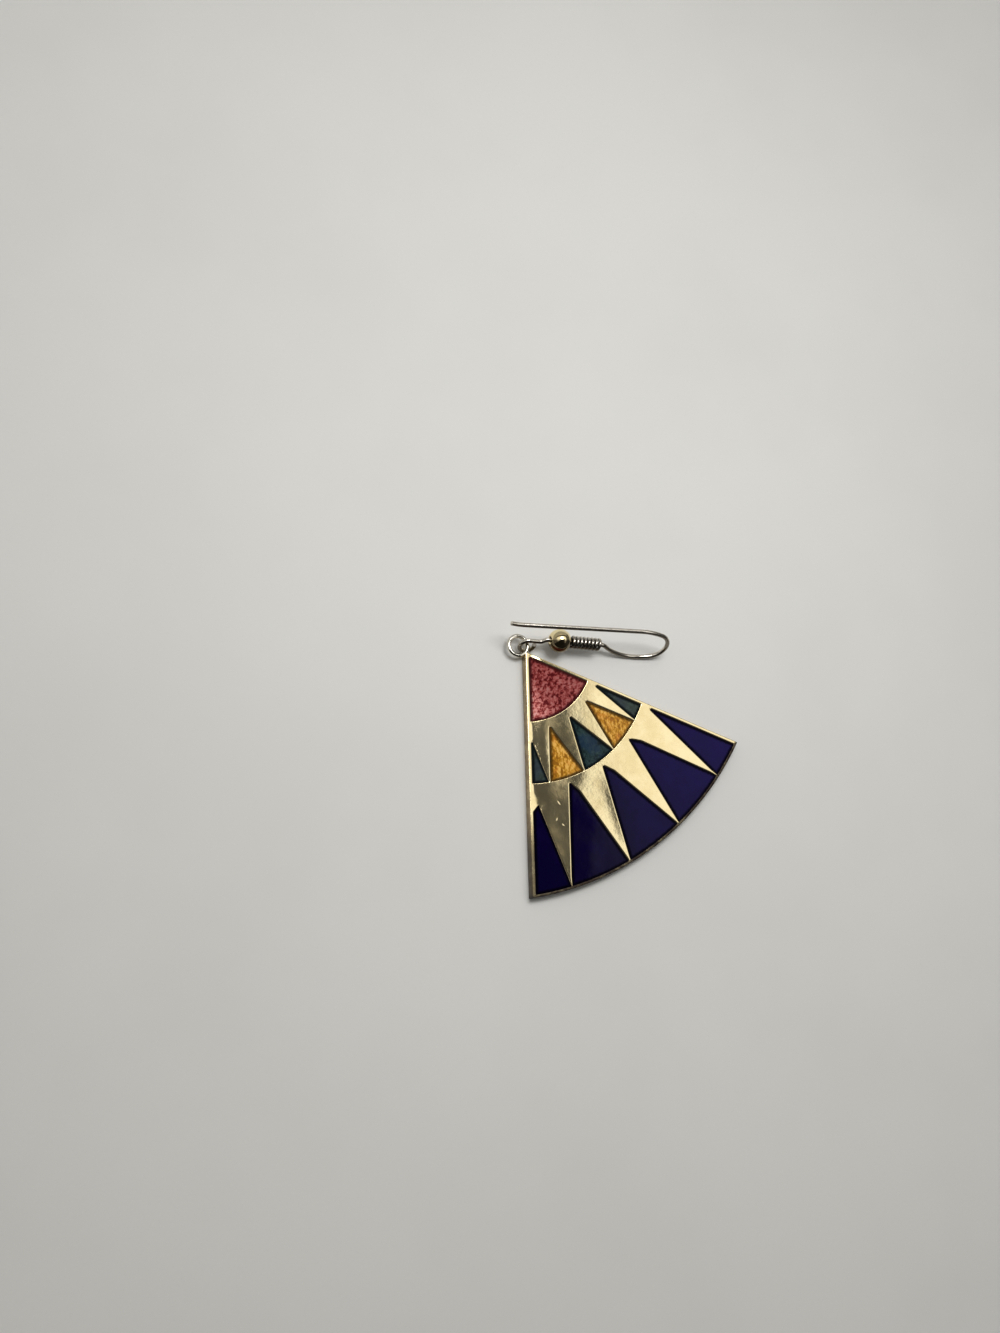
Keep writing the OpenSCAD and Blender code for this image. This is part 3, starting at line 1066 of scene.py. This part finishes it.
def makeHook():
    h = hookSettings
    neck = roundedEnd(wirePath(h["neckRows"], 180)[0])
    leg = roundedEnd(wirePath(h["legRows"], 0)[0])
    chain = list(reversed(neck)) + leg[1:]
    base = bpy.data.meshes.new("hookPath")
    base.from_pydata([(p.x, p.y, 0) for p, _ in chain], [(i, i + 1) for i in range(len(chain) - 1)], [])
    storeNumbers(base, "thick", [share for _, share in chain])

    # The wire follows the path; the point attribute "thick" rounds off its ends.
    values = {"Wire Radius": h["wire"], "Sides": h["sides"], "Metal": steel}
    tree, entry = startTree("bentWire", values)
    thick = node(tree, "GeometryNodeInputNamedAttribute", {"Name": "thick"}, "Attribute")
    curve = node(tree, "GeometryNodeMeshToCurve", {"Mesh": entry["Geometry"]})
    curve = node(tree, "GeometryNodeSetCurveRadius", {"Curve": curve, "Radius": thick})
    data = sweepWire(tree, entry, curve, base, values)
    placePiece("earHookWire", data, hookPlace, h["underside"], "ear_hook")


coilSettings = {
    "start": 1.45,
    "length": 4.48,
    "wire": 0.205,
    "radius": 0.682,
    "turns": 7.55,
    "phase": 230,
    "sides": 14,
    "stepsPerTurn": 40,
    "grooveShade": (0.05, 0.18),  # the painted shade in the grooves between turns fades over these heights above the middle of the winding
    # where the painted shade on the side away from the light fades in
    "underside": (-0.15, 0.2),
}


def makeCoil():
    # A close winding about X: a spiral swept by a round wire.
    c = coilSettings
    values = {"Turns": c["turns"], "Height": c["length"] - 2 * c["wire"], "Radius": c["radius"],
              "Wire Radius": c["wire"], "Steps Per Turn": c["stepsPerTurn"], "Sides": c["sides"],
              "Phase": radians(c["phase"]), "Metal": steel}
    tree, entry = startTree("closeWinding", values)
    inputs = {"Resolution": entry["Steps Per Turn"], "Rotations": entry["Turns"], "Height": entry["Height"],
              "Start Radius": entry["Radius"], "End Radius": entry["Radius"]}
    curve = node(tree, "GeometryNodeCurveSpiral", inputs)
    # It is turned about its own axis first, then laid along X.
    for turn in ({"Z": entry["Phase"]}, {"Y": pi / 2}):
        rotation = node(tree, "ShaderNodeCombineXYZ", turn)
        curve = node(tree, "GeometryNodeTransform", {"Geometry": curve, "Rotation": rotation})
    data = sweepWire(tree, entry, curve, bpy.data.meshes.new("empty"), values)
    place = hookPlace @ Matrix.Translation((c["start"] + c["wire"], 0, 0))
    piece = placePiece("hookCoilWinding", data, place, c["underside"], "hook_coil")
    # Painted shade in the grooves: 1 close to the winding's middle, fading outward.
    back = hookPlace.inverted()
    low, high = (c["radius"] + height for height in c["grooveShade"])
    storeByPlace(piece, "groove", lambda co: 1 - stepUp((back @ co).yz.length, low, high))


beadSettings = {
    "radius": 1.55,
    "length": 2.8,
    "bore": 0.34,
    "boreDepth": 0.35,
    "lip": 0.07,
    "edge": 0.03,  # angle left out at each end of the ball, for a soft edge
    "dents": 0.006,
    "steps": 96,
    # where the painted shade on the side away from the light fades in
    "underside": (-0.12, 0.02),
}


def makeBead():
    # A turned ball with a flat and a lip at each end of its bore.
    b = beadSettings
    half = b["length"] / 2
    flat = sqrt(b["radius"] ** 2 - half ** 2)
    profile = [
        (-half + b["boreDepth"], b["bore"]),
        (-half + b["lip"], b["bore"]),
        (-half + 0.02, b["bore"] + b["lip"]),
        (-half, b["bore"] + 1.6 * b["lip"]),
        (-half, flat - 0.05),
    ]
    otherEnd = [(-x, radius) for x, radius in reversed(profile)]
    start = asin(flat / b["radius"])
    steps = b["steps"] // 2
    for k in range(steps + 1):
        angle = start + b["edge"] + (pi - 2 * start - 2 * b["edge"]) * k / steps
        profile.append((-b["radius"] * cos(angle), b["radius"] * sin(angle)))
    mesh = bmesh.new()
    loops = []
    for x, radius in profile + otherEnd:
        loop = []
        for i in range(b["steps"]):
            turn = 2 * pi * i / b["steps"]
            dent = noise.noise(Vector((x, cos(turn) * radius, sin(turn) * radius)) * 1.3)
            out = radius * (1 - b["dents"] * max(0, dent))
            loop.append(mesh.verts.new((x, out * cos(turn), out * sin(turn))))
        loops.append(loop)
    bridgeLoops(mesh, *loops, loops[0])
    data = meshFrom("bead", mesh, gilt)
    placePiece("hookBeadGilt", data, hookPlace, b["underside"], "hook_bead")


makeHook()
makeCoil()
makeBead()


floorSettings = {
    "size": 3.0,
    "colour": (0.80, 0.795, 0.765),
    "shade": (0.765, 0.76, 0.73),
    "cloudScale": 0.02,
    "grainScale": 2.2,
    "roughness": 0.65,
    "bump": (0.15, 0.02),
}


def makeFloor():
    s = floorSettings
    material, tree, shader, place = startMaterial("paleBoard")
    cloud = noiseOn(place, s["cloudScale"], 4, 0.6)
    grain = noiseOn(place, s["grainScale"], 4, 0.75)
    colour = mix(between(cloud, 0.35, 0.7), s["colour"], s["shade"])
    colour = mix(between(grain, 0.4, 0.7, 0, 0.25), colour, s["shade"])
    bump = bumpFrom(grain, *s["bump"])
    setSockets(shader, {"Base Color": colour, "Roughness": s["roughness"], "Normal": bump})
    mesh = bmesh.new()
    bmesh.ops.create_grid(mesh, x_segments=8, y_segments=8, size=s["size"] / 2)
    floor = addObject("floor", meshFrom("floor", mesh, material))


lightSettings = {
    "dark": (0.035, 0.09),  # the unlit side of the room, from its left to its right
    "darkEdge": (-0.3, 0.45),
    "lit": (0.32, 1.0),  # the lit side, low and high up
    "litHeight": (0.55, 0.8),
    "lamp": 1.08,  # the wide lamp that the flat gold mirrors
    "tint": (1.0, 0.985, 0.95),
    "litSide": (0, 1, 0),  # direction of the lit side, and where its edge is along it
    "litEdge": (0.06, 0.18),
    "lampSide": (1, -0.5, 0),
    "lampEdge": (0.462, 0.482),
    "lampFoot": (0.66, 0.78),  # sine of the elevation where the wide lamp ends
    "keyPlace": (0.036, 0.045, 0.17),
    "keySize": (0.105, 0.07),
    "keyTurn": -31.7,  # along the photo's width
    "keyPower": 0.15,
}


def makeLight():
    s = lightSettings
    world = bpy.data.worlds.new("studio")
    bpy.context.scene.world = world
    world.use_nodes = True
    tree = world.node_tree
    direction = node(tree, "ShaderNodeTexCoord", output="Generated")

    def along(axis):
        return node(tree, "ShaderNodeVectorMath", {0: direction, 1: axis}, "Value", operation="DOT_PRODUCT")

    height = along((0, 0, 1))
    dark = between(along((1, 0, 0)), *s["darkEdge"], *s["dark"])
    litSide = between(along(s["litSide"]), *s["litEdge"])
    litSide = times(litSide, between(height, *s["litHeight"], *s["lit"]))
    wideLamp = between(along(s["lampSide"]), *s["lampEdge"], 0, s["lamp"])
    wideLamp = times(wideLamp, between(height, *s["lampFoot"]))
    strength = larger(larger(litSide, wideLamp), dark)
    setSockets(tree.nodes["Background"], {"Strength": strength, "Color": (*s["tint"], 1)})

    lamp = bpy.data.lights.new("key", "AREA")
    lamp.shape = "ELLIPSE"
    lamp.size, lamp.size_y = s["keySize"]
    lamp.energy = s["keyPower"]
    key = addObject("key", lamp)
    key.location = s["keyPlace"]
    key.rotation_euler = (0, 0, radians(s["keyTurn"]))


cameraSettings = {
    "place": (-0.11586, 0.02061, 0.23525),
    "target": (-0.00362, 0.01728, 0.0),
    "up": (0.5113, 0.8275, 0.2322),
    "lens": 72,  # with the sensor's width, in millimetres
    "sensor": 36,
    "clipStart": 0.01,
}


def makeCamera():
    s = cameraSettings
    data = bpy.data.cameras.new("photoView")
    data.sensor_fit = "HORIZONTAL"
    data.sensor_width = s["sensor"]
    data.lens = s["lens"]
    data.clip_start = s["clipStart"]
    back = (Vector(s["place"]) - Vector(s["target"])).normalized()
    right = Vector(s["up"]).cross(back).normalized()
    turn = Matrix((right, back.cross(right), back)).transposed().to_4x4()
    camera = addObject("photoView", data)
    camera.matrix_world = Matrix.Translation(s["place"]) @ turn
    bpy.context.scene.camera = camera


makeFloor()
makeLight()
makeCamera()
bpy.context.scene.view_settings.view_transform = "Standard"
print("floor, light and camera ready")
